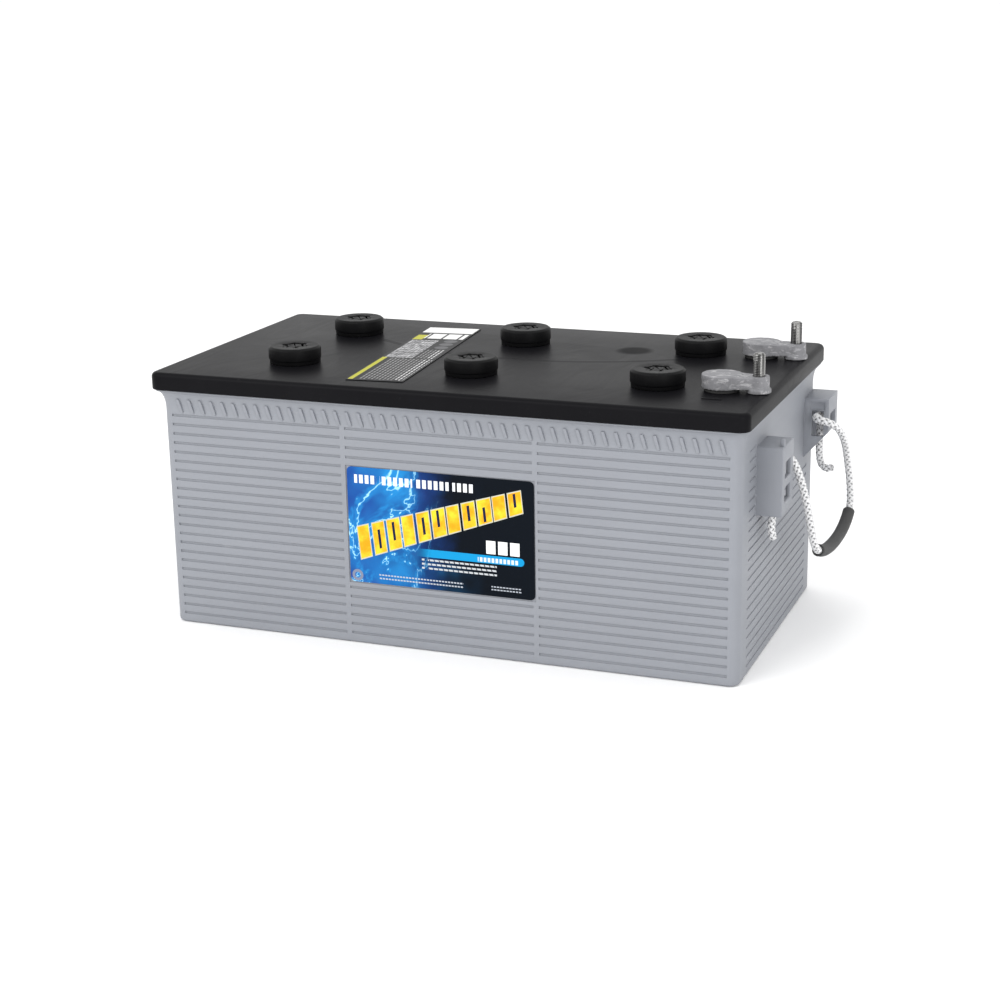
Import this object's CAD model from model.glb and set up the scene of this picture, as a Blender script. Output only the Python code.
"""A large deep cycle battery: ribbed grey case, black lid, six vent caps, two cast terminals, a rope handle.

Metres, Z up. The case's foot is centred on the origin, the terminals and the handle are at the +X end.
"""

import math

import bmesh
import bpy
from mathutils import Matrix, Vector


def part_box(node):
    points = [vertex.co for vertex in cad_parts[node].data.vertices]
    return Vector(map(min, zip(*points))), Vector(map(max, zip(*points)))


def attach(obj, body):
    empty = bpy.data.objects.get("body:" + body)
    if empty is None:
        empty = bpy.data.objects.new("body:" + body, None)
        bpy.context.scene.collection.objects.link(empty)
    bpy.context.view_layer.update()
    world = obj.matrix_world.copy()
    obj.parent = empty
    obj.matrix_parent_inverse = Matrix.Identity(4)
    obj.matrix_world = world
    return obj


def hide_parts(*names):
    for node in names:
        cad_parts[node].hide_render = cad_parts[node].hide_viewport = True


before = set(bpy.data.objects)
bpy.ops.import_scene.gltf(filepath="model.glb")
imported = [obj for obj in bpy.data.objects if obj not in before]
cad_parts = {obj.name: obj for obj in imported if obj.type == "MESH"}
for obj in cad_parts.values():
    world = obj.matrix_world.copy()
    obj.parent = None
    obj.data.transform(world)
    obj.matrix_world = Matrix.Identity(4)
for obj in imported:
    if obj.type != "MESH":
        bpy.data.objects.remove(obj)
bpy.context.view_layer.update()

# ---------------------------------------------------------------- sizes, as the solid parts have them
CASE_X, CASE_Y, CASE_TOP = 0.250, 0.131, 0.2067
WALL_TOP, LIP, LIP_REACH = 0.190, 0.2055, 0.0058
CORNER = 0.009
RIB_PITCH, GROOVE, GROOVE_DEPTH, FIRST_GROOVE, RIBS = 0.008, 0.0022, 0.0013, 0.0076, 23
STRIP, STRIP_WIDTH = 0.0834, 0.0045
LID_X, LID_Y, LID_BOTTOM, LID_TOP = 0.257, 0.1395, 0.207, 0.222
VENT_X, VENT_Y = (-0.1565, 0.005, 0.1645), 0.065
POST_X, POST_Y, STUD_X = 0.217, 0.066, 0.2465
LABEL_X, LABEL_Y, LABEL_WIDE, LABEL_LONG, LABEL_TURN = -0.070, -0.0035, 0.050, 0.225, math.radians(5)
GAP, LABEL_THICK = 0.0003, 0.0003
EARS = {"near": (-0.083, -0.046), "far": (0.090, 0.127)}
EAR_REACH, EAR_LOW, EAR_HIGH, EAR_WALL = 0.271, 0.127, 0.183, 0.004
EAR_ROOT, EAR_INNER, OVER = CASE_X - 0.001, CASE_X + 0.002, 0.001
ROUTE = [Vector(p) / 1000 for p in (
    (261.5, -45, 168), (265.5, -40.5, 166), (270.5, -37.5, 158.5), (275, -35.5, 146), (278.5, -33, 131),
    (281.5, -30.5, 115), (283.6, -28, 101), (284.9, -23.5, 90), (285.7, -15.5, 82.5), (286.5, -4, 78),
    (287.2, 12, 74.2), (288, 30, 72.4), (288.8, 48, 72.4), (289.4, 66, 74), (289.8, 81, 77.4),
    (290, 93, 82.2), (290, 101, 89), (289.2, 104.5, 99), (288, 105, 112), (286.3, 103.3, 126),
    (285.4, 97.8, 139.5), (284.2, 89.6, 150.8), (281.8, 81.6, 159.4), (276.8, 75.8, 165.2),
    (270.3, 74, 167.9), (264.4, 76.8, 168.2), (261.7, 82.6, 168), (261.5, 88.2, 168))]
GRIP_FROM, GRIP_TO = 8, 15
END_ROUTES = {
    "near": [Vector(p) / 1000 for p in (
        (261.5, -50, 168), (262.5, -57, 165), (260.5, -62.5, 156), (260, -64.5, 144), (260, -65, 132),
        (259.5, -65.5, 122), (258.5, -64, 112), (259.5, -61.5, 103))],
    "far": [Vector(p) / 1000 for p in (
        (261.5, 93.5, 168), (262.5, 100.5, 164), (261, 105, 155), (260.5, 106.5, 143), (261, 105.5, 131),
        (263.5, 102, 123), (268.5, 98, 120.2), (274.5, 96.5, 121.5))],
}

# ---------------------------------------------------------------- camera
YAW, PITCH, ROLL = math.radians(-21.20), math.radians(16.22), math.radians(1.00)
forward = Vector((math.sin(YAW) * math.cos(PITCH), math.cos(YAW) * math.cos(PITCH), -math.sin(PITCH)))
level = Vector((math.cos(YAW), -math.sin(YAW), 0))
down = forward.cross(level)
right = level * math.cos(ROLL) + down * math.sin(ROLL)
up = level * math.sin(ROLL) - down * math.cos(ROLL)
camera = bpy.data.objects.new("camera", bpy.data.cameras.new("camera"))
bpy.context.scene.collection.objects.link(camera)
camera.matrix_world = (Matrix.Translation((0.5837, -1.4967, 0.5621))
                       @ Matrix((right, up, -forward)).transposed().to_4x4())
camera.data.lens = 68.98
bpy.context.scene.camera = camera


# ---------------------------------------------------------------- bench tools
def let_go():
    """Leaves edit mode and selects nothing."""
    if bpy.context.object and bpy.context.object.mode != "OBJECT":
        bpy.ops.object.mode_set(mode="OBJECT")
    bpy.ops.object.select_all(action="DESELECT")


def take(piece):
    """Makes one piece the only selected and active one."""
    let_go()
    piece.select_set(True)
    bpy.context.view_layer.objects.active = piece


def settle(piece, name=None):
    """Puts a piece's place, turn and size into its mesh."""
    take(piece)
    bpy.ops.object.transform_apply(location=True, rotation=True, scale=True)
    if name:
        piece.name = name
    return piece


def block(name, low, high):
    let_go()
    low, high = Vector(low), Vector(high)
    bpy.ops.mesh.primitive_cube_add(size=1, location=(low + high) / 2, scale=high - low)
    return settle(bpy.context.object, name)


def drum(name, radius, low, high, x, y, sides=48):
    let_go()
    bpy.ops.mesh.primitive_cylinder_add(vertices=sides, radius=radius, depth=high - low,
                                        location=(x, y, (low + high) / 2))
    return settle(bpy.context.object, name)


def middle(part):
    """The middle of a vertex, edge or face."""
    if isinstance(part, bmesh.types.BMVert):
        return part.co
    if isinstance(part, bmesh.types.BMEdge):
        return (part.verts[0].co + part.verts[1].co) / 2
    return part.calc_center_median()


def pick(piece, kind, test):
    """Goes into edit mode with only the vertices, edges or faces that pass the test selected."""
    if piece.mode != "EDIT":
        take(piece)
        bpy.ops.object.mode_set(mode="EDIT")
    bpy.ops.mesh.select_mode(type=kind)
    bpy.ops.mesh.select_all(action="DESELECT")
    mesh = bmesh.from_edit_mesh(piece.data)
    parts = {"VERT": mesh.verts, "EDGE": mesh.edges, "FACE": mesh.faces}[kind]
    for part in [part for part in parts if test(part)]:
        part.select_set(True)
    mesh.select_flush_mode()
    bmesh.update_edit_mesh(piece.data)


def push(x=0.0, y=0.0, z=0.0):
    bpy.ops.mesh.extrude_region_move(TRANSFORM_OT_translate={"value": (x, y, z)})


def widen(fx, fy, centre):
    bpy.ops.transform.resize(value=(fx, fy, 1), center_override=centre)


def slice_piece(piece, point, normal, test=lambda face: True):
    """Cuts a line round the faces that pass the test."""
    pick(piece, "FACE", test)
    bpy.ops.mesh.bisect(plane_co=point, plane_no=normal)


def soften(piece, width, segments=2, angle=40):
    """Rounds every edge sharper than the angle."""
    take(piece)
    bevel = piece.modifiers.new("soft edges", "BEVEL")
    bevel.width = width
    bevel.segments = segments
    bevel.limit_method = "ANGLE"
    bevel.angle_limit = math.radians(angle)
    bevel.harden_normals = False
    bpy.ops.object.modifier_apply(modifier=bevel.name)


def smooth(piece, angle=35):
    take(piece)
    bpy.ops.object.shade_smooth_by_angle(angle=math.radians(angle))


def carve(piece, cutter, operation="DIFFERENCE"):
    """Takes the cutter's shape out of the piece, or adds it, and throws the cutter away."""
    take(piece)
    boolean = piece.modifiers.new("carve", "BOOLEAN")
    boolean.operation = operation
    boolean.object = cutter
    boolean.solver = "EXACT"
    bpy.ops.object.modifier_apply(modifier=boolean.name)
    bpy.data.objects.remove(cutter)


def gather(piece, *others):
    """Joins the others into the piece."""
    take(piece)
    for other in others:
        other.select_set(True)
    bpy.context.view_layer.objects.active = piece
    bpy.ops.object.join()
    return piece


def copy_of(piece, name, dx, dy):
    """A copy with its own mesh, moved."""
    twin = piece.copy()
    twin.data = piece.data.copy()
    twin.name = name
    bpy.context.scene.collection.objects.link(twin)
    twin.data.transform(Matrix.Translation((dx, dy, 0)))
    return twin


def row_of(piece, count, offset):
    """Repeats a small piece along a line."""
    take(piece)
    array = piece.modifiers.new("row", "ARRAY")
    array.use_relative_offset = False
    array.use_constant_offset = True
    array.constant_offset_displace = offset
    array.count = count
    bpy.ops.object.modifier_apply(modifier=array.name)
    return piece


def draw_line(name, points):
    """A line of edges drawn from point to point."""
    let_go()
    bpy.ops.mesh.primitive_plane_add(size=0.001)
    piece = bpy.context.object
    piece.name = name
    bpy.ops.object.mode_set(mode="EDIT")
    bpy.ops.mesh.select_mode(type="VERT")
    bpy.ops.mesh.select_all(action="SELECT")
    bpy.ops.mesh.merge(type="CENTER")
    bpy.ops.transform.translate(value=points[0])
    for start, end in zip(points, points[1:]):
        push(*(Vector(end) - Vector(start)))
    return piece


def turn_profile(name, profile, x, y, steps):
    """A solid turned about an upright line from its (radius, height) outline."""
    piece = draw_line(name, [(x + radius, y, z) for radius, z in profile])
    let_go()
    pick(piece, "VERT", lambda vert: True)
    bpy.ops.mesh.spin(steps=steps, angle=math.tau, center=(x, y, 0), axis=(0, 0, 1))
    bpy.ops.mesh.select_all(action="SELECT")
    bpy.ops.mesh.remove_doubles(threshold=1e-6)
    bpy.ops.mesh.normals_make_consistent(inside=False)
    return settle(piece)


# ---------------------------------------------------------------- finishes
def operator(operation):
    """A method that adds one Math node."""
    return lambda self, *others: self.maths(operation, self, *others)


class Wire:
    """A node's output, so that shader maths is written as plain maths."""

    def __init__(self, finish, socket):
        self.finish = finish
        self.socket = socket

    def maths(self, operation, *inputs):
        settings = {"operation": operation}
        return self.finish.node("ShaderNodeMath", settings, dict(enumerate(inputs)))["Value"]

    def __rsub__(self, other):
        return self.maths("SUBTRACT", other, self)

    __add__ = __radd__ = operator("ADD")
    __sub__ = operator("SUBTRACT")
    __mul__ = __rmul__ = operator("MULTIPLY")
    __truediv__ = operator("DIVIDE")
    __mod__ = operator("FLOORED_MODULO")
    __gt__ = operator("GREATER_THAN")
    __lt__ = operator("LESS_THAN")
    __abs__ = operator("ABSOLUTE")
    sine = operator("SINE")
    floor = operator("FLOOR")
    power = operator("POWER")
    most = operator("MAXIMUM")

    def between(self, low, high):
        return (self > low) * (self < high)

    def bars(self, low, high):
        """1 between low and high of every whole step, 0 elsewhere."""
        return (self % 1.0).between(low, high)

    def eased(self, low, high):
        """0 below low, 1 above high, smooth between."""
        settings = {"interpolation_type": "SMOOTHSTEP"}
        inputs = {"Value": self, "From Min": low, "From Max": high}
        return self.finish.node("ShaderNodeMapRange", settings, inputs)["Result"]


class Finish:
    """A material built of nodes on one Principled shader."""

    def __init__(self, name, **plain):
        self.material = bpy.data.materials.new(name)
        self.material.use_nodes = True
        self.tree = self.material.node_tree
        self.shader = next(n for n in self.tree.nodes if n.type == "BSDF_PRINCIPLED")
        for socket, value in plain.items():
            self.give(socket.replace("_", " "), value)

    def node(self, kind, settings=None, inputs=None):
        """Adds a node, sets it up, feeds its sockets and gives back its outputs by name."""
        made = self.tree.nodes.new(kind)
        for name, value in (settings or {}).items():
            setattr(made, name, value)
        for key, value in (inputs or {}).items():
            self.plug(made.inputs[key], value)
        return {socket.name: Wire(self, socket) for socket in made.outputs if socket.enabled}

    def plug(self, socket, value):
        if isinstance(value, Wire):
            self.tree.links.new(value.socket, socket)
        elif socket.type == "RGBA" and len(value) == 3:
            socket.default_value = (*value, 1)
        else:
            socket.default_value = value

    def give(self, socket, value):
        self.plug(self.shader.inputs[socket], value)

    def place(self, scale=(1, 1, 1), turn=(0, 0, 0), shift=(0, 0, 0)):
        """The piece's own coordinates, shifted, turned and stretched."""
        own = self.node("ShaderNodeTexCoord")["Object"]
        inputs = {"Vector": own, "Location": shift, "Rotation": turn, "Scale": scale}
        return self.node("ShaderNodeMapping", None, inputs)["Vector"]

    def axes(self):
        split = self.node("ShaderNodeSeparateXYZ", None, {"Vector": self.place()})
        return split["X"], split["Y"], split["Z"]

    def noise(self, scale, detail=3.0, rough=0.55, vector=None, warp=0.0):
        inputs = {"Vector": vector or self.place(), "Scale": scale, "Detail": detail, "Roughness": rough,
                  "Distortion": warp}
        return self.node("ShaderNodeTexNoise", None, inputs)["Fac"]

    def cells(self, scale):
        """The distance to the nearest of many scattered points."""
        return self.node("ShaderNodeTexVoronoi", None, {"Vector": self.place(), "Scale": scale})["Distance"]

    def blend(self, mask, first, second):
        """The first colour where the mask is 0, the second where it is 1."""
        return self.node("ShaderNodeMix", {"data_type": "RGBA"}, {0: mask, 6: first, 7: second})["Result"]

    def relief(self, *layers):
        """Bump layers, each (height, depth in metres), one on another."""
        normal = None
        for height, depth in layers:
            inputs = {"Height": height, "Distance": depth, "Strength": 1.0}
            if normal:
                inputs["Normal"] = normal
            normal = self.node("ShaderNodeBump", None, inputs)["Normal"]
        self.give("Normal", normal)

    def made(self, colour, roughness, *layers):
        """The material, given its colour, its roughness and its bump layers."""
        self.give("Base Color", colour)
        self.give("Roughness", roughness)
        self.relief(*layers)
        return self.material


def distance(across, along):
    """How far a place is from a point, from its two offsets."""
    return (across * across + along * along).power(0.5)


def field(u, v, left, right, low, high):
    """1 inside a rectangle of a label, 0 outside."""
    return u.between(left, right) * v.between(low, high)


def case_plastic():
    """Light grey polypropylene: fine grain, faint clouding and handling scuffs."""
    finish = Finish("case_grey", IOR=1.49)
    cloud = finish.noise(9, 4, 0.6)
    flow = finish.noise(30, 3, 0.5, finish.place(scale=(0.25, 0.25, 1.6)))
    speck = finish.noise(700, 2, 0.6)
    scuff = finish.noise(55, 6, 0.72, finish.place(scale=(0.35, 0.35, 3.0), turn=(0.3, 0.2, 0.5)), 0.6)
    scuffed = scuff.eased(0.64, 0.74)
    tone = finish.blend(cloud * 0.55 + flow * 0.45, (0.208, 0.218, 0.242), (0.252, 0.263, 0.290))
    tone = finish.blend(speck.eased(0.62, 0.75) * 0.25, tone, (0.18, 0.188, 0.205))
    tone = finish.blend(scuffed * 0.30, tone, (0.36, 0.37, 0.39))
    return finish.made(tone, 0.44 + cloud * 0.12 + scuffed * 0.12,
                       (flow, 0.00035), (finish.noise(1500, 2, 0.5), 0.00005), (scuffed, 0.00003))


def lid_plastic():
    """Satin black moulded lid: flow lines, a dark round mould mark, a faint swept one, dust in the grain."""
    finish = Finish("lid_black", Specular_IOR_Level=0.04)
    x, y, z = finish.axes()
    grain = finish.noise(900, 2, 0.6)
    cloud = finish.noise(14, 4, 0.6)
    swirl = finish.noise(26, 2, 0.5, finish.place(scale=(1, 0.35, 1), turn=(0, 0, 0.5)), 1.2)
    dust = finish.noise(160, 5, 0.75).eased(0.62, 0.80)
    gate = 1 - distance(x - 0.107, y - 0.060).eased(0.0090, 0.0185)
    sweep = distance(x - 0.02, y - 0.24)
    swept = (sweep.eased(0.238, 0.241) - sweep.eased(0.244, 0.247)) * x.between(-0.13, 0.16)
    tone = finish.blend(cloud, (0.0042, 0.0041, 0.0050), (0.0085, 0.0083, 0.0096))
    tone = finish.blend(dust * 0.16, tone, (0.070, 0.067, 0.066))
    tone = finish.blend(gate * 0.55, tone, (0.0018, 0.0018, 0.0020))
    return finish.made(tone, 0.32 + cloud * 0.10 + dust * 0.15 + gate * 0.20 + swept * 0.06,
                       (swirl, 0.0006), (gate + swept * 0.5, 0.0002), (grain, 0.00006))


def cap_plastic():
    """Black vent caps: denser and a little finer than the lid."""
    finish = Finish("cap_black", Specular_IOR_Level=0.10)
    cloud = finish.noise(60, 4, 0.6)
    scratch = finish.noise(240, 4, 0.7, finish.place(scale=(1, 0.12, 1), turn=(0, 0, 0.7))).eased(0.63, 0.72)
    tone = finish.blend(cloud, (0.0022, 0.0022, 0.0026), (0.0048, 0.0048, 0.0052))
    tone = finish.blend(scratch * 0.25, tone, (0.03, 0.03, 0.03))
    return finish.made(tone, 0.40 + cloud * 0.12 + scratch * 0.10,
                       (finish.noise(1300, 2, 0.6), 0.00006), (cloud, 0.00015))


def cast_lead():
    """Gravity cast lead alloy: dull oxide, bright rubbed places, cold-shut wrinkles and pits."""
    finish = Finish("cast_lead", Metallic=0.35)
    cloud = finish.noise(90, 5, 0.62, warp=0.4)
    rubbed = finish.noise(210, 6, 0.7, finish.place(scale=(0.45, 1, 1.3), turn=(0.2, 0.1, 0.4)), 0.5)
    rubbed = rubbed.eased(0.52, 0.66)
    pits = finish.cells(620).eased(0.10, 0.24)
    wrinkle = finish.noise(260, 4, 0.6, finish.place(scale=(1, 1, 2.2)), 0.9)
    tone = finish.blend(cloud, (0.150, 0.150, 0.160), (0.27, 0.27, 0.282))
    tone = finish.blend(rubbed * 0.7, tone, (0.50, 0.495, 0.505))
    tone = finish.blend((1 - pits) * 0.4, tone, (0.10, 0.10, 0.105))
    return finish.made(tone, 0.60 - rubbed * 0.24 + cloud * 0.08,
                       (wrinkle, 0.00022), (pits, 0.00008), (finish.noise(1500, 2, 0.6), 0.00004))


def bright_steel():
    """Bright stainless steel with upright streaks."""
    finish = Finish("stud_steel", Metallic=1.0)
    lines = finish.noise(420, 2, 0.5, finish.place(scale=(1, 1, 0.03)))
    smear = finish.noise(120, 4, 0.6)
    tone = finish.blend(lines.eased(0.38, 0.60), (0.05, 0.05, 0.05), (0.30, 0.297, 0.29))
    tone = finish.blend(smear * 0.3, tone, (0.20, 0.198, 0.192))
    return finish.made(tone, 0.16 + lines * 0.12 + smear * 0.08, (lines, 0.00003))


def rubber(name, low, high, roughness):
    """Matt rubber with bloom and a fine moulded grain."""
    finish = Finish(name)
    bloom = finish.noise(75, 5, 0.65)
    grain = finish.noise(1100, 2, 0.6)
    rubs = finish.noise(130, 5, 0.7, finish.place(scale=(1, 0.3, 0.6))).eased(0.58, 0.75)
    tone = finish.blend(bloom, low, high)
    tone = finish.blend(rubs * 0.4, tone, tuple(min(1, 2.2 * part) for part in high))
    return finish.made(tone, roughness - rubs * 0.12 + bloom * 0.06, (grain, 0.00008), (bloom, 0.0003))


def white_rope():
    """Braided polyester: bright filaments with a little soil in the valleys."""
    finish = Finish("rope_white", Sheen_Weight=0.25, Sheen_Roughness=0.5)
    depth = finish.node("ShaderNodeAttribute", {"attribute_name": "height"})["Fac"]
    across = finish.node("ShaderNodeAttribute", {"attribute_name": "across"})["Fac"]
    strands = (across * 55).sine() * 0.5 + 0.5
    soil = finish.noise(90, 4, 0.6)
    tone = finish.blend(depth.eased(0.15, 0.75), (0.40, 0.40, 0.41), (0.85, 0.85, 0.855))
    tone = finish.blend(strands * 0.14, tone, (0.62, 0.62, 0.64))
    tone = finish.blend(soil.eased(0.55, 0.8) * 0.25, tone, (0.63, 0.61, 0.57))
    return finish.made(tone, 0.8, (strands, 0.00012), (finish.noise(900, 3, 0.7), 0.0001))


def valve_seat_plastic():
    finish = Finish("valve_seat_plastic")
    cloud = finish.noise(120, 4, 0.6)
    tone = finish.blend(cloud, (0.012, 0.012, 0.013), (0.024, 0.024, 0.025))
    return finish.made(tone, 0.38 + cloud * 0.15, (finish.noise(1200, 2, 0.5), 0.00005))


def sintered_ceramic():
    """Porous flame arrestor disc."""
    finish = Finish("arrestor_ceramic")
    grain = finish.cells(1500)
    stain = finish.noise(150, 4, 0.6)
    tone = finish.blend(grain.eased(0.1, 0.5), (0.36, 0.35, 0.33), (0.68, 0.66, 0.62))
    tone = finish.blend(stain.eased(0.5, 0.75) * 0.4, tone, (0.46, 0.42, 0.36))
    return finish.made(tone, 0.9, (grain, 0.0003))


def plates_and_mats():
    """Stacked lead plates, brown and grey by turns, with white glass mats between."""
    finish = Finish("plate_stack")
    x, y, z = finish.axes()
    place = (y / 0.0036) % 2
    brown = place.between(0.0, 0.72)
    grey = place.between(1.0, 1.72)
    mottle = finish.noise(260, 5, 0.65)
    paste = finish.blend(mottle, (0.085, 0.042, 0.024), (0.15, 0.078, 0.046))
    lead = finish.blend(mottle, (0.16, 0.165, 0.17), (0.30, 0.31, 0.32))
    tone = finish.blend(brown, (0.74, 0.73, 0.70), paste)
    tone = finish.blend(grey, tone, lead)
    finish.give("Metallic", grey * 0.5)
    return finish.made(tone, 0.85, (brown + grey, 0.0004), (mottle, 0.0002))


def front_print():
    """The front label: lightning on blue and black, a rising band of yellow blocks, bars for print."""
    finish = Finish("front_label", Specular_IOR_Level=0.06)
    low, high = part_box("front_label")
    x, y, z = finish.axes()
    u = (x - low.x) / (high.x - low.x)
    v = (z - low.z) / (high.z - low.z)
    aspect = (high.x - low.x) / (high.z - low.z)
    # the sky: blue on the left, black on the right, with branching light
    haze = finish.noise(22, 5, 0.6)
    dusk = (u + (haze - 0.5) * 0.5).eased(0.12, 0.62)
    sky = finish.blend(dusk, (0.012, 0.060, 0.27), (0.0025, 0.0045, 0.0080))
    glow = finish.noise(14, 3, 0.6, finish.place(shift=(0.3, 0, 0.1)))
    sky = finish.blend(glow.eased(0.42, 0.72) * (1 - u.eased(0.3, 0.75)) * 0.8, sky, (0.018, 0.23, 0.56))
    violet = finish.noise(19, 3, 0.6, finish.place(shift=(0.7, 0, 0.4)))
    sky = finish.blend(violet.eased(0.50, 0.75) * (1 - u.eased(0.2, 0.55)) * 0.7, sky, (0.060, 0.040, 0.22))
    wander = finish.noise(40, 4, 0.65)
    fork = finish.noise(17, 5, 0.62, finish.place(scale=(1, 1, 0.55), turn=(0, 0.5, 0)), 0.8)
    bolt = 1 - abs(fork - 0.5 + (wander - 0.5) * 0.03).eased(0.0, 0.0075)
    halo = 1 - abs(fork - 0.5).eased(0.0, 0.050)
    reach = 1 - u.eased(0.26, 0.52)
    sky = finish.blend(halo * reach * 0.6, sky, (0.020, 0.26, 0.60))
    sky = finish.blend(bolt * reach, sky, (0.36, 0.70, 0.86))
    # a line of narrow white bars along the top, in groups
    bars = (u * 32).bars(0.14, 0.80) * (u * 5.1 + 0.08).bars(0.0, 0.90)
    tone = finish.blend(field(u, v, 0.04, 0.69, 0.862, 0.935) * bars, sky, (0.72, 0.74, 0.76))
    # a rising, narrowing band of yellow blocks with pale edges, the biggest thing on the label
    rise = v - (0.312 + u * 0.547)
    grow = 0.145 - u * 0.057
    lean = (u - 0.050 + rise * 0.06) * 12.3
    number = lean.floor()
    part = lean % 1.0
    broad = 0.80 + ((number * 0.37) % 1.0) * 0.12
    across_band = lean.between(0.0, 11.0)
    pale = (abs(rise) < grow + 0.010) * (part > 0.02) * (part < broad + 0.05) * across_band
    yellow = (abs(rise) < grow) * (part > 0.07) * (part < broad) * across_band
    slot_high = ((number * 0.61) % 1.0) * 0.7 + 0.15
    slot = (abs(rise + (slot_high - 0.5) * grow) < grow * 0.62) * part.between(0.38, 0.55) * across_band
    tone = finish.blend(pale, tone, (0.50, 0.50, 0.40))
    mottle = finish.noise(70, 3, 0.6).eased(0.35, 0.65)
    shade = finish.blend(mottle, (0.74, 0.33, 0.012), (0.78, 0.60, 0.035))
    tone = finish.blend(yellow, tone, shade)
    tone = finish.blend(slot * ((number % 3) > 0.5), tone, (0.010, 0.016, 0.045))
    # cyan stripe with a round end, fading in from the left
    stripe_start, stripe_end, stripe_v, stripe_half = 0.37, 0.925, 0.312, 0.034
    end_round = distance((u - stripe_end) * aspect, v - stripe_v) < stripe_half
    stripe = (u.between(stripe_start, stripe_end) * (abs(v - stripe_v) < stripe_half)).most(end_round)
    tone = finish.blend(stripe * (u.eased(stripe_start, 0.46) * 0.9 + 0.1), tone, (0.008, 0.27, 0.56))
    in_stripe = field(u, v, 0.70, 0.915, 0.287, 0.325) * (u * 48).bars(0.12, 0.80)
    tone = finish.blend(in_stripe, tone, (0.62, 0.68, 0.72))
    # three small squares, three lines with points, small print and a plain emblem
    squares = field(u, v, 0.742, 0.932, 0.360, 0.472) * ((u - 0.742) * 15.8).bars(0.06, 0.84)
    tone = finish.blend(squares, tone, (0.82, 0.82, 0.82))
    lines = (v - 0.165) * 28
    words = (u * 37 + v * 11).bars(0.10, 0.90)
    lists = field(u, v, 0.43, 0.80, 0.165, 0.272) * lines.bars(0.25, 0.68) * words
    points = field(u, v, 0.398, 0.412, 0.165, 0.272) * lines.bars(0.25, 0.70)
    tone = finish.blend(lists.most(points), tone, (0.50, 0.52, 0.54))
    small = field(u, v, 0.16, 0.62, 0.035, 0.095) * ((v - 0.035) * 33).bars(0.25, 0.65)
    corner = field(u, v, 0.77, 0.93, 0.045, 0.095) * ((v - 0.045) * 40).bars(0.25, 0.65)
    small = small.most(corner) * (u * 61 + v * 5).bars(0.15, 0.85)
    tone = finish.blend(small, tone, (0.42, 0.45, 0.50))
    ring = distance((u - 0.040) * aspect, v - 0.060)
    tone = finish.blend(ring.between(0.026, 0.050), tone, (0.20, 0.22, 0.30))
    return finish.made(tone, 0.26 + haze * 0.10,
                       (finish.noise(45, 3, 0.5), 0.0002), (yellow.most(stripe), 0.00003))


def lid_print():
    """The lid label: black with a yellow edge, white blocks at one end and bars for print."""
    finish = Finish("lid_label", Specular_IOR_Level=0.05)
    cosine, sine = math.cos(LABEL_TURN), math.sin(LABEL_TURN)
    x, y, z = finish.axes()
    across = ((x - LABEL_X) * cosine + (y - LABEL_Y) * sine) / LABEL_WIDE + 0.5
    along = ((y - LABEL_Y) * cosine - (x - LABEL_X) * sine) / LABEL_LONG + 0.5
    wear = finish.noise(120, 4, 0.6)
    tone = finish.blend(wear, (0.006, 0.006, 0.007), (0.018, 0.018, 0.019))
    # yellow edge and a yellow patch
    yellow = field(across, along, 0.03, 0.115, 0.012, 0.40)
    patch = field(across, along, 0.04, 0.22, 0.745, 0.835)
    tone = finish.blend(yellow.most(patch), tone, (0.42, 0.41, 0.035))
    # white blocks at the far end
    white = field(across, along, 0.03, 0.97, 0.885, 0.990)
    cells = field(across, along, 0.22, 0.95, 0.770, 0.865) * (across * 3.4 + 0.1).bars(0.06, 0.93)
    tone = finish.blend(white.most(cells), tone, (0.74, 0.74, 0.73))
    # a grey table in the middle
    table = field(across, along, 0.06, 0.56, 0.40, 0.735)
    mottled = finish.noise(330, 3, 0.7).eased(0.40, 0.60)
    lines = (across * 17).bars(0.10, 0.95) * (along * 24).bars(0.08, 0.96)
    tone = finish.blend(table * lines, tone, finish.blend(mottled, (0.14, 0.14, 0.145), (0.50, 0.50, 0.51)))
    # bars for print, running the long way
    row = across * 15
    breaks = (along * 34 + row.floor() * 0.43).bars(0.10, 0.84)
    rows = field(across, along, 0.20, 0.96, 0.02, 0.385).most(field(across, along, 0.62, 0.95, 0.40, 0.56))
    rows = rows * row.bars(0.24, 0.66)
    bold = across.between(0.80, 0.96)
    tone = finish.blend(rows * breaks * (bold * 0.55 + 0.40), tone, (0.62, 0.62, 0.62))
    # three ovals
    oval = distance((across - 0.79) * 3.4, (((along - 0.575) * 16.5) % 1.0) - 0.5)
    tone = finish.blend((oval < 0.42) * along.between(0.575, 0.755), tone, (0.10, 0.10, 0.105))
    return finish.made(tone, 0.30 + wear * 0.15, (wear, 0.0002))


FINISHES = {
    "case_grey": case_plastic(),
    "lid_black": lid_plastic(),
    "cap_black": cap_plastic(),
    "valve_seat": valve_seat_plastic(),
    "valve_rubber": rubber("valve_rubber", (0.010, 0.010, 0.010), (0.022, 0.022, 0.022), 0.70),
    "arrestor_ceramic": sintered_ceramic(),
    "cast_lead": cast_lead(),
    "stud_steel": bright_steel(),
    "plate_stack": plates_and_mats(),
    "front_label": front_print(),
    "lid_label": lid_print(),
    "grip_rubber": rubber("grip_rubber", (0.022, 0.022, 0.022), (0.045, 0.045, 0.045), 0.62),
    "rope_white": white_rope(),
}


def dress(piece, finish):
    piece.data.materials.clear()
    piece.data.materials.append(FINISHES[finish])


def stand_in(piece, body, finish, *nodes):
    """A finished piece: its finish, the body it rides on and the solid parts that it stands for."""
    dress(piece, finish)
    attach(piece, body)
    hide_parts(*nodes)


# ---------------------------------------------------------------- rope
def glide(a, b, start, stop, t):
    """The point at t on the straight way from a, at start, to b, at stop."""
    return a * ((stop - t) / (stop - start)) + b * ((t - start) / (stop - start))


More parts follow.
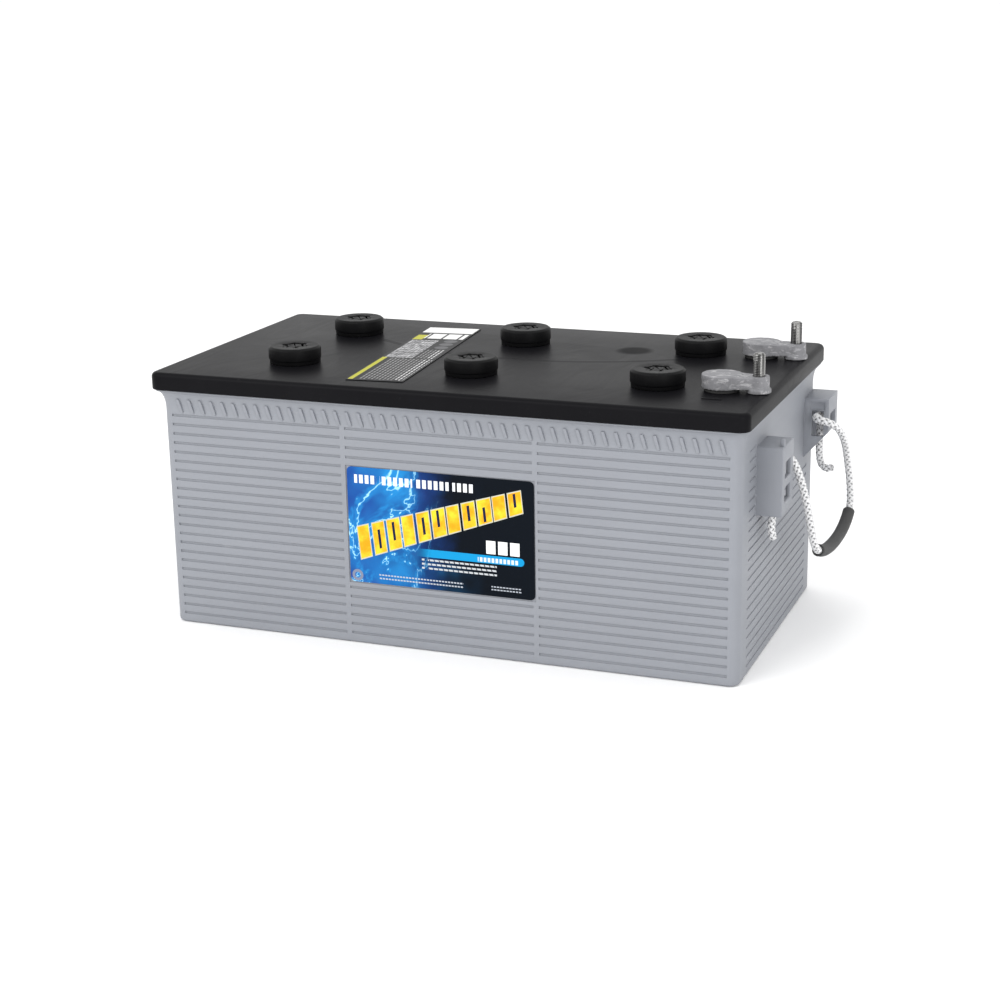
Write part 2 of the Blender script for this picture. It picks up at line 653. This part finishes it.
def smooth_line(points, step):
    """Centripetal Catmull-Rom through the points, with a point about every step."""
    ends = [points[0] * 2 - points[1], *points, points[-1] * 2 - points[-2]]
    line = []
    for p0, p1, p2, p3 in zip(ends, ends[1:], ends[2:], ends[3:]):
        t1 = (p1 - p0).length ** 0.5
        t2 = t1 + (p2 - p1).length ** 0.5
        t3 = t2 + (p3 - p2).length ** 0.5
        count = max(2, round((p2 - p1).length / step))
        for i in range(count):
            t = t1 + (t2 - t1) * i / count
            a1 = glide(p0, p1, 0, t1, t)
            a2 = glide(p1, p2, t1, t2, t)
            a3 = glide(p2, p3, t2, t3, t)
            b1 = glide(a1, a2, 0, t2, t)
            b2 = glide(a2, a3, t1, t3, t)
            line.append(glide(b1, b2, t1, t2, t))
    return line + [points[-1]]


def frames_along(line):
    """(place, side, other side, distance so far) at each point, with no twist."""
    side = Vector((0, 0, 1)).cross(line[1] - line[0])
    side = side if side.length > 1e-9 else Vector((1, 0, 0))
    made = []
    far = 0.0
    for i, place in enumerate(line):
        ahead = (line[min(i + 1, len(line) - 1)] - line[max(i - 1, 0)]).normalized()
        side = (side - ahead * side.dot(ahead)).normalized()
        if i:
            far += (place - line[i - 1]).length
        made.append((place, side, ahead.cross(side), far))
    return made


def skin(first, rings, sides):
    """Faces for a tube of rings of points, closed at both ends."""
    faces = []
    for a in range(first, first + (rings - 1) * sides, sides):
        for i in range(sides):
            b = (i + 1) % sides
            faces.append((a + i, a + b, a + sides + b, a + sides + i))
    last = first + (rings - 1) * sides
    faces.append(tuple(first + i for i in reversed(range(sides))))
    faces.append(tuple(last + i for i in range(sides)))
    return faces


def braid(name, points):
    """A braided rope: strands wind both ways round a core and pass over and under each other."""
    strands, pitch, weave, mean = 4, 0.021, 0.00048, 0.00232
    half_wide, half_thick, sides = 0.00150, 0.00056, 6
    core, core_sides, step = 0.0019, 8, 0.0010
    line = smooth_line(points, step)
    along = frames_along(line)
    verts, faces, heights, places = [], [], [], []
    section = [(math.cos(t), math.sin(t), t / math.tau) for t in (i * math.tau / sides for i in range(sides))]
    for way in (1, -1):
        for number in range(strands):
            faces += skin(len(verts), len(along), sides)
            for place, side, other, far in along:
                turn = math.tau * (number / strands + way * far / pitch)
                crossed = (turn + way * math.tau * far / pitch) / math.tau * strands
                lift = way * math.cos(math.pi * (number + crossed))
                radius = mean + weave * lift
                out = side * math.cos(turn) + other * math.sin(turn)
                flat = side * -math.sin(turn) + other * math.cos(turn)
                for c, s, share in section:
                    verts.append(place + out * (radius + half_thick * s) + flat * (half_wide * c))
                    heights.append(0.5 + 0.38 * lift + 0.12 * s)
                    places.append(share)
    faces += skin(len(verts), len(along), core_sides)
    for place, side, other, far in along:
        for i in range(core_sides):
            turn = i * math.tau / core_sides
            verts.append(place + (side * math.cos(turn) + other * math.sin(turn)) * core)
            heights.append(0.0)
            places.append(0.0)
    mesh = bpy.data.meshes.new(name)
    mesh.from_pydata(verts, [], faces)
    mesh.attributes.new("height", "FLOAT", "POINT").data.foreach_set("value", heights)
    mesh.attributes.new("across", "FLOAT", "POINT").data.foreach_set("value", places)
    piece = bpy.data.objects.new(name, mesh)
    bpy.context.scene.collection.objects.link(piece)
    take(piece)
    bpy.ops.object.mode_set(mode="EDIT")
    bpy.ops.mesh.select_all(action="SELECT")
    bpy.ops.mesh.normals_make_consistent(inside=False)
    settle(piece)
    bpy.ops.object.shade_smooth()
    return piece, line


rope, rope_line = braid("rope_loop", ROUTE)
rope_length = sum((b - a).length for a, b in zip(rope_line, rope_line[1:]))
stand_in(rope, "handle", "rope_white", "handle_rope")

for end, route in END_ROUTES.items():
    tail, _ = braid("rope_tail_" + end, route)
    stand_in(tail, "battery", "rope_white", "rope_end_" + end)


def grip_tube():
    """A rubber tube over the rope, thick-walled and open at both ends."""
    middle_radius, wall_thick, step = 0.0044, 0.0015, 0.004
    line = smooth_line(ROUTE, step)
    starts = min(range(len(line)), key=lambda i: (line[i] - ROUTE[GRIP_FROM]).length) + 1
    stops = min(range(len(line)), key=lambda i: (line[i] - ROUTE[GRIP_TO]).length) + 1
    curve = bpy.data.curves.new("handle_tube", "CURVE")
    curve.dimensions = "3D"
    curve.bevel_depth = middle_radius
    curve.bevel_resolution = 7
    spline = curve.splines.new("POLY")
    chosen = line[starts:stops + 1]
    spline.points.add(len(chosen) - 1)
    for point, place in zip(spline.points, chosen):
        point.co = (*place, 1)
    piece = bpy.data.objects.new("handle_tube", curve)
    bpy.context.scene.collection.objects.link(piece)
    take(piece)
    bpy.ops.object.convert(target="MESH")
    piece = bpy.context.object
    wall = piece.modifiers.new("wall", "SOLIDIFY")
    wall.thickness = wall_thick
    wall.offset = 0
    bpy.ops.object.modifier_apply(modifier=wall.name)
    soften(piece, 0.0004, 2, 50)
    smooth(piece, 50)
    return piece


stand_in(grip_tube(), "handle", "grip_rubber", "handle_grip")


# ---------------------------------------------------------------- case
def on_end(face, side):
    return face.normal.x * side > 0.9 and abs(middle(face).x - side * CASE_X) < 1e-4


def on_side(face, side):
    return face.normal.y * side > 0.9 and abs(middle(face).y - side * CASE_Y) < 1e-4


def in_groove(z):
    place = z - FIRST_GROOVE
    return 0 < place < RIBS * RIB_PITCH and place % RIB_PITCH < GROOVE


def off_strips(x):
    return abs(abs(x) - STRIP) > STRIP_WIDTH / 2


def case_shell():
    """The moulded box: ribs, plain strips, a sunk label field, a flared lip and six cell wells."""
    label_left, label_right, label_low, label_high, margin = -0.0815, 0.0835, 0.0530, 0.1540, 0.003
    groove_end, ear_edge, ear_low = 0.1045, EARS["near"][0] - 0.001, 0.125
    wall, half_wall, bottom, foot_round = 0.005, 0.002, 0.005, 0.0025
    end_groove = GROOVE_DEPTH * 0.6
    strip_in, strip_out = STRIP - STRIP_WIDTH / 2, STRIP + STRIP_WIDTH / 2
    case = block("case_shell", (-CASE_X, -CASE_Y, 0), (CASE_X, CASE_Y, WALL_TOP))
    pick(case, "EDGE", lambda edge: abs(edge.verts[0].co.z - edge.verts[1].co.z) > 0.1)
    bpy.ops.mesh.bevel(offset=CORNER, segments=6, affect="EDGES")
    for groove in range(RIBS):
        z = FIRST_GROOVE + groove * RIB_PITCH
        slice_piece(case, (0, 0, z), (0, 0, 1))
        slice_piece(case, (0, 0, z + GROOVE), (0, 0, 1))
    for x in (-strip_out, label_left, -strip_in, strip_in, label_right, strip_out):
        slice_piece(case, (x, 0, 0), (1, 0, 0))
    for y in (-groove_end, ear_edge, groove_end):
        slice_piece(case, (0, y, 0), (0, 1, 0))
    for z in (label_low, label_high):
        slice_piece(case, (0, 0, z), (0, 0, 1))

    def sunk_in_front(face):
        x, y, z = middle(face)
        if label_left < x < label_right and label_low < z < label_high:
            return on_side(face, -1)
        if abs(x) < STRIP and label_low - margin < z < label_high + margin:
            return False
        return on_side(face, -1) and in_groove(z) and off_strips(x)

    def sunk_in_back(face):
        x, y, z = middle(face)
        return on_side(face, 1) and in_groove(z) and off_strips(x)

    def sunk_in_left(face):
        x, y, z = middle(face)
        return on_end(face, -1) and in_groove(z) and abs(y) < groove_end

    def sunk_in_right(face):
        x, y, z = middle(face)
        below_ears = z < ear_low and abs(y) < groove_end
        before_ear = -groove_end < y < ear_edge
        return on_end(face, 1) and in_groove(z) and (below_ears or before_ear)

    pick(case, "FACE", sunk_in_front)
    push(y=GROOVE_DEPTH)
    pick(case, "FACE", sunk_in_back)
    push(y=-GROOVE_DEPTH)
    pick(case, "FACE", sunk_in_left)
    push(x=GROOVE_DEPTH)
    pick(case, "FACE", sunk_in_right)
    push(x=-end_groove)
    # the flare: a hollow curve out to the lip, then a straight rim
    pick(case, "FACE", lambda face: face.normal.z > 0.9 and middle(face).z > WALL_TOP - 1e-4)
    reach, height = 0.0, WALL_TOP
    steps = 5
    for step in range(1, steps + 1):
        turn = step / steps * math.pi / 2
        new_reach = LIP_REACH * (1 - math.cos(turn))
        new_height = WALL_TOP + (LIP - WALL_TOP) * math.sin(turn)
        wider_x = (CASE_X + new_reach) / (CASE_X + reach)
        wider_y = (CASE_Y + new_reach) / (CASE_Y + reach)
        push(z=new_height - height)
        widen(wider_x, wider_y, (0, 0, new_height))
        reach, height = new_reach, new_height
    push(z=CASE_TOP - height)

    def is_top(face):
        return face.normal.z > 0.9 and middle(face).z > CASE_TOP - 1e-4

    def over_well(face):
        x, y, z = middle(face)
        in_x = abs(x) < CASE_X - wall and abs(abs(x) - STRIP) > half_wall
        return is_top(face) and in_x and half_wall < abs(y) < CASE_Y - wall

    # six wells down to the floor
    wall_faces = (STRIP - half_wall, STRIP + half_wall, CASE_X - wall)
    for x in (*(-face for face in reversed(wall_faces)), *wall_faces):
        slice_piece(case, (x, 0, 0), (1, 0, 0), is_top)
    for y in (wall - CASE_Y, -half_wall, half_wall, CASE_Y - wall):
        slice_piece(case, (0, y, 0), (0, 1, 0), is_top)
    pick(case, "FACE", over_well)
    push(z=bottom - CASE_TOP)
    pick(case, "EDGE", lambda edge: max(v.co.z for v in edge.verts) < 1e-4 and any(
        abs(face.normal.z) < 0.5 for face in edge.link_faces))
    bpy.ops.mesh.bevel(offset=foot_round, segments=3, affect="EDGES")
    soften(case, 0.0008, 3, 40)
    return case


def flutes():
    """Small slanted fins under the lip, along the front, the back and the left end."""
    pitch, half, foot, top, low, high = 0.0104, 0.0014, 0.0011, 0.0026, 0.1872, 0.1990
    slant, sunk, bare_end = 0.0030, 0.0005, 0.010
    rows = []
    for name, side, wall, run, along in (("front", -1, CASE_Y, CASE_X, 0), ("back", 1, CASE_Y, CASE_X, 0),
                                         ("left", -1, CASE_X, CASE_Y, 1)):
        count = int((2 * run - 2 * bare_end) / pitch)
        start = -pitch * (count - 1) / 2
        across = 1 - along
        near, far = [0, 0, low], [0, 0, high]
        near[along], far[along] = start - half, start + half
        near[across], far[across] = sorted((side * (wall - sunk), side * (wall + top)))
        fin = block("flute_" + name, near, far)
        pick(fin, "VERT", lambda vert: vert.co.z < low + 0.001 and abs(vert.co[across]) > wall + 0.001)
        bpy.ops.transform.translate(value=tuple(side * (foot - top) if i == across else 0 for i in range(3)))
        pick(fin, "VERT", lambda vert: vert.co.z < low + 0.001)
        bpy.ops.transform.translate(value=tuple(slant if i == along else 0 for i in range(3)))
        soften(fin, 0.0006, 2, 30)
        row_of(fin, count, tuple(pitch if i == along else 0 for i in range(3)))
        rows.append(fin)
    return rows


def rope_ear(name, y0, y1):
    """A hollow lug for the rope, open below, with two windows outside."""
    pane_x, inside, frame_width = EAR_REACH - EAR_WALL, EAR_HIGH - EAR_WALL, 0.008
    ear = block(name, (EAR_ROOT, y0, EAR_LOW), (EAR_REACH, y1, EAR_HIGH))
    carve(ear, block("hollow", (EAR_INNER, y0 + EAR_WALL, EAR_LOW - OVER), (pane_x, y1 - EAR_WALL, inside)))
    for sill, head in ((0.156, 0.169), (0.137, 0.149)):
        carve(ear, block("window", (pane_x - OVER, y0 + frame_width, sill),
                         (EAR_REACH + OVER, y1 - frame_width, head)))
    return ear


def near_ear(y0, y1):
    """The near lug: a mouth towards its twin, a plain cheek, and a small fin standing on it."""
    ear = rope_ear("ear_near", y0, y1)
    carve(ear, block("mouth", (EAR_INNER, y1 - EAR_WALL - OVER, EAR_LOW + 0.008),
                     (EAR_REACH - EAR_WALL, y1 + OVER, 0.173)))
    fin = block("fin", (EAR_REACH - 0.0040, y0 + 0.006, EAR_HIGH - OVER),
                (EAR_REACH - 0.0005, y0 + 0.009, EAR_HIGH + 0.006))
    soften(ear, 0.0013, 3, 40)
    soften(fin, 0.0006, 2, 30)
    return gather(ear, fin)


def far_ear(y0, y1):
    """The far lug: a mostly closed cheek with a hole and a panel, and its foot cut away on a slant."""
    rise = 0.038
    ear = rope_ear("ear_far", y0, y1)
    carve(ear, block("mouth", (0.2565, y0 - OVER, 0.150), (0.2668, y0 + EAR_WALL + OVER, 0.1725)))
    carve(ear, block("panel", (0.2545, y0 - OVER, 0.1735), (0.2675, y0 + 0.0008, 0.1800)))
    slope = block("slope", (EAR_ROOT - 0.002, y0 - 0.002, EAR_LOW - 0.030),
                  (EAR_REACH + 0.010, y1 + 0.002, EAR_LOW))
    pick(slope, "VERT", lambda vert: vert.co.x > EAR_REACH and vert.co.z > EAR_LOW - 0.001)
    bpy.ops.transform.translate(value=(0, 0, rise))
    carve(ear, slope)
    soften(ear, 0.0008, 2, 40)
    return ear


case = case_shell()
gather(case, *flutes(), near_ear(*EARS["near"]), far_ear(*EARS["far"]))
smooth(case, 38)
stand_in(case, "battery", "case_grey", "case")


# ---------------------------------------------------------------- lid
def lid_shell():
    """The moulded lid: rounded rim, pocketed underside, eight round holes, plus and minus marks."""
    rim, pocket, below, above = 0.008, 0.008, LID_BOTTOM - 0.007, LID_TOP + 0.018
    top_round, foot_round, vent_hole, post_hole = 0.0042, 0.0013, 0.015, 0.0116
    lid = block("lid_moulding", (-LID_X, -LID_Y, LID_BOTTOM), (LID_X, LID_Y, LID_TOP))
    pick(lid, "EDGE", lambda edge: abs(edge.verts[0].co.z - edge.verts[1].co.z) > 0.01)
    bpy.ops.mesh.bevel(offset=CORNER, segments=8, affect="EDGES")
    pick(lid, "FACE", lambda face: face.normal.z < -0.9)
    bpy.ops.mesh.inset(thickness=rim, depth=0)
    push(z=pocket)
    pick(lid, "EDGE", lambda edge: min(v.co.z for v in edge.verts) > LID_TOP - 1e-4)
    bpy.ops.mesh.bevel(offset=top_round, segments=6, affect="EDGES")
    pick(lid, "EDGE", lambda edge: max(v.co.z for v in edge.verts) < LID_BOTTOM + 1e-4 and any(
        abs(face.normal.z) < 0.5 and (abs(middle(face).x) > 0.245 or abs(middle(face).y) > 0.13)
        for face in edge.link_faces))
    bpy.ops.mesh.bevel(offset=foot_round, segments=2, affect="EDGES")
    for side in (-1, 1):
        for x in VENT_X:
            carve(lid, drum("vent hole", vent_hole, below, above, x, side * VENT_Y, 40))
        carve(lid, drum("post hole", post_hole, below, above, POST_X, side * POST_Y, 40))
    # a minus and a plus in line with the posts, each bar given by its y and its half sizes
    long, thin, low, high = 0.008, 0.0011, LID_TOP - 0.0005, LID_TOP + 0.0007
    bars = ((-0.098, long, thin), (0.103, long, thin), (0.103, thin, long))
    marks = [block("mark", (POST_X - half_x, y - half_y, low), (POST_X + half_x, y + half_y, high))
             for y, half_x, half_y in bars]
    for mark in marks:
        soften(mark, 0.0004, 2, 30)
    gather(lid, *marks)
    smooth(lid, 38)
    return lid


stand_in(lid_shell(), "battery", "lid_black", "lid")


# ---------------------------------------------------------------- vent caps
def vent_cap(x, y):
    """Turned cap with a step, a chamfered crown, a six-pointed tool recess, a stem and the chamber inside."""
    bottom, foot, crown = 0.199, LID_TOP + GAP, LID_TOP + 0.0145
    stem, skirt, rim, flat = 0.0142, 0.0216, 0.0223, 0.0203
    chamber_wall, chamber_depth = 0.0042, 0.0273
    cap = drum("cap", stem, bottom, foot, x, y)
    pick(cap, "FACE", lambda face: face.normal.z > 0.9)
    outline = ((skirt, foot), (skirt, foot + 0.0032), (rim, foot + 0.0037),
               (rim, crown - 0.0016), (flat, crown))
    radius, height = stem, foot
    for new_radius, new_height in outline:
        push(z=new_height - height)
        widen(new_radius / radius, new_radius / radius, (x, y, new_height))
        radius, height = new_radius, new_height
    bpy.ops.mesh.inset(thickness=0.0035, depth=-0.0003)
    bpy.ops.mesh.inset(thickness=0.0052, depth=0)

    def between_points(vert):
        offset = vert.co - Vector((x, y, vert.co.z))
        turn = math.degrees(math.atan2(offset.y, offset.x)) % 60
        return 11 <= turn <= 49 and 0.008 < offset.length < 0.0126 and vert.co.z > crown - 0.001

    pick(cap, "VERT", between_points)
    widen(0.83, 0.83, (x, y, crown))
    centre = Vector((x, y, crown))
    pick(cap, "FACE", lambda face: face.normal.z > 0.9 and (middle(face) - centre).length < 0.002)
    push(z=-0.0009)
    bpy.ops.mesh.inset(thickness=0.0034, depth=0.0006)
    pick(cap, "FACE", lambda face: face.normal.z < -0.9 and middle(face).z < bottom + 1e-4)
    bpy.ops.mesh.inset(thickness=chamber_wall, depth=0)
    push(z=chamber_depth)
    soften(cap, 0.00035, 2, 42)
    smooth(cap, 36)
    return cap


model_cap = vent_cap(VENT_X[0], -VENT_Y)
vents = [(x, side * VENT_Y) for side in (-1, 1) for x in VENT_X]
for number, (x, y) in enumerate(vents, 1):
    cap = copy_of(model_cap, f"turn_cap_{number}", x - VENT_X[0], y + VENT_Y)
    stand_in(cap, f"cap_{number}", "cap_black", f"vent_cap_{number}")
bpy.data.objects.remove(model_cap)


# ---------------------------------------------------------------- terminals
def cast_terminal(y):
    """Disc, arm and boss cast in one, with a slightly uneven skin and a hole for the stud."""
    low, high, foot = LID_TOP + 0.003, LID_TOP + 0.0135, LID_TOP + GAP
    disc, half_arm, boss, collar, bore = 0.0160, 0.0072, 0.0084, 0.0098, 0.0051
    body = drum("cast", disc, low, high, POST_X, y, 40)
    arm = block("arm", (POST_X, y - half_arm, low + 0.0002), (STUD_X, y + half_arm, high - 0.0006))
    pick(arm, "FACE", lambda face: face.normal.x < -0.9)
    widen(1, 2.0, (POST_X, y, 0))
    carve(body, arm, "UNION")
    carve(body, drum("boss", boss, foot, high, STUD_X, y, 32), "UNION")
    carve(body, drum("collar", collar, foot, LID_TOP + 0.0036, STUD_X, y, 32), "UNION")
    take(body)
    remesh = body.modifiers.new("run together", "REMESH")
    remesh.mode = "VOXEL"
    remesh.voxel_size = 0.0005
    bpy.ops.object.modifier_apply(modifier=remesh.name)
    relax = body.modifiers.new("rounded", "SMOOTH")
    relax.factor = 0.6
    relax.iterations = 4
    bpy.ops.object.modifier_apply(modifier=relax.name)
    lumps = bpy.data.textures.new("lumps", "CLOUDS")
    lumps.noise_scale = 0.006
    lumps.noise_depth = 3
    uneven = body.modifiers.new("uneven", "DISPLACE")
    uneven.texture = lumps
    uneven.texture_coords = "LOCAL"
    uneven.mid_level = 0.55
    uneven.strength = 0.0006
    bpy.ops.object.modifier_apply(modifier=uneven.name)
    carve(body, drum("stud hole", bore, LID_TOP + 0.002, high + 0.002, STUD_X, y, 40))
    carve(body, drum("under", 0.03, LID_TOP - 0.01, LID_TOP + 0.0002, POST_X, y, 20))
    smooth(body, 50)
    return body


def threaded_stud(y):
    """Stud with a plain neck, shallow rings for its thread, three deeper rings above and a rounded tip."""
    radius, top, foot = 0.00476, 0.254, LID_TOP + 0.0023
    neck, pitch, turns, start = radius - 0.0001, 0.00127, 12, 0.2368
    profile = [(0, foot), (radius - 0.0004, foot), (neck, foot + 0.0005), (neck, start)]
    for turn in range(turns):
        z = start + turn * pitch
        root = radius - (0.00034 if turn >= turns - 3 else 0.00012)
        profile += [(root, z + pitch * 0.30), (root, z + pitch * 0.45)]
        profile += [(radius, z + pitch * 0.80), (radius, z + pitch * 0.95)]
    profile += [(radius - 0.0006, top - 0.0012), (radius - 0.0012, top - 0.0005)]
    profile += [(radius - 0.0024, top - 0.0001), (0, top)]
    stud = turn_profile("stud", profile, STUD_X, y, 40)
    smooth(stud, 40)
    return stud


for pole, side in (("negative", -1), ("positive", 1)):
    lug = cast_terminal(side * POST_Y)
    lug.name = "terminal_" + pole
    stand_in(lug, "battery", "cast_lead", "lug_" + pole)
    stud = threaded_stud(side * POST_Y)
    stud.name = "threaded_stud_" + pole
    stand_in(stud, "battery", "stud_steel", "stud_" + pole)


# ---------------------------------------------------------------- labels
def label_plate(name, low, high, corner, axis):
    """A thin plate with rounded corners."""
    plate = block(name, low, high)
    pick(plate, "EDGE", lambda edge: abs((edge.verts[0].co - edge.verts[1].co).normalized()[axis]) > 0.9)
    bpy.ops.mesh.bevel(offset=corner, segments=6, affect="EDGES")
    let_go()
    return plate


front = label_plate("printed_front", *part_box("front_label"), 0.004, 1)
stand_in(front, "battery", "front_label", "front_label")
top_label = label_plate("printed_top", (-LABEL_WIDE / 2, -LABEL_LONG / 2, 0),
                        (LABEL_WIDE / 2, LABEL_LONG / 2, LABEL_THICK), 0.002, 2)
top_label.data.transform(Matrix.Translation((LABEL_X, LABEL_Y, LID_TOP + GAP))
                         @ Matrix.Rotation(LABEL_TURN, 4, "Z"))
stand_in(top_label, "battery", "lid_label", "lid_label")

# ---------------------------------------------------------------- parts kept as they are, with their finishes
KEPT = {
    "valve_seat_": ("valve_seat", "cap_black"),
    "relief_valve_": ("valve_rubber", "valve_rubber"),
    "flame_arrestor_": ("arrestor_ceramic", "arrestor_ceramic"),
    "plate_stack_": ("plate_stack", "plate_stack"),
    "cell_link_": ("cast_lead", "cast_lead"),
    "post_seal_": ("valve_rubber", "valve_rubber"),
    "post_": ("cast_lead", "cast_lead"),
}
for name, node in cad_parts.items():
    for start, (finish, slot) in KEPT.items():
        if name.startswith(start):
            dress(node, finish)
            break

# ---------------------------------------------------------------- floor and light
let_go()
bpy.ops.mesh.primitive_plane_add(size=60, location=(0, 0, -0.0004))
floor = settle(bpy.context.object, "floor")
pale = Finish("pale_floor", Roughness=0.9)
pale.give("Base Color", pale.blend(pale.noise(2, 2), (0.95, 0.95, 0.95), (0.97, 0.97, 0.97)))
floor.data.materials.append(pale.material)

world = bpy.data.worlds.new("soft sky")
world.use_nodes = True
bpy.context.scene.world = world
sky = next(n for n in world.node_tree.nodes if n.type == "BACKGROUND")
sky.inputs["Color"].default_value = (1.0, 1.0, 1.0, 1)
sky.inputs["Strength"].default_value = 1.08
bpy.context.scene.view_settings.view_transform = "Standard"


def softbox(name, place, aim, width, height, power):
    lamp = bpy.data.lights.new(name, "AREA")
    lamp.shape = "RECTANGLE"
    lamp.size = width
    lamp.size_y = height
    lamp.energy = power
    holder = bpy.data.objects.new(name, lamp)
    bpy.context.scene.collection.objects.link(holder)
    holder.location = place
    holder.rotation_euler = (Vector(aim) - Vector(place)).to_track_quat("-Z", "Y").to_euler()


softbox("key", (-1.1, -2.0, 1.7), (0, 0, 0.1), 1.8, 1.4, 30)
softbox("overhead", (0.2, 0.5, 2.2), (0, 0, 0.2), 1.8, 1.2, 7)
softbox("side", (1.7, -1.8, 0.8), (0.2, 0, 0.12), 0.9, 1.2, 15)

let_go()
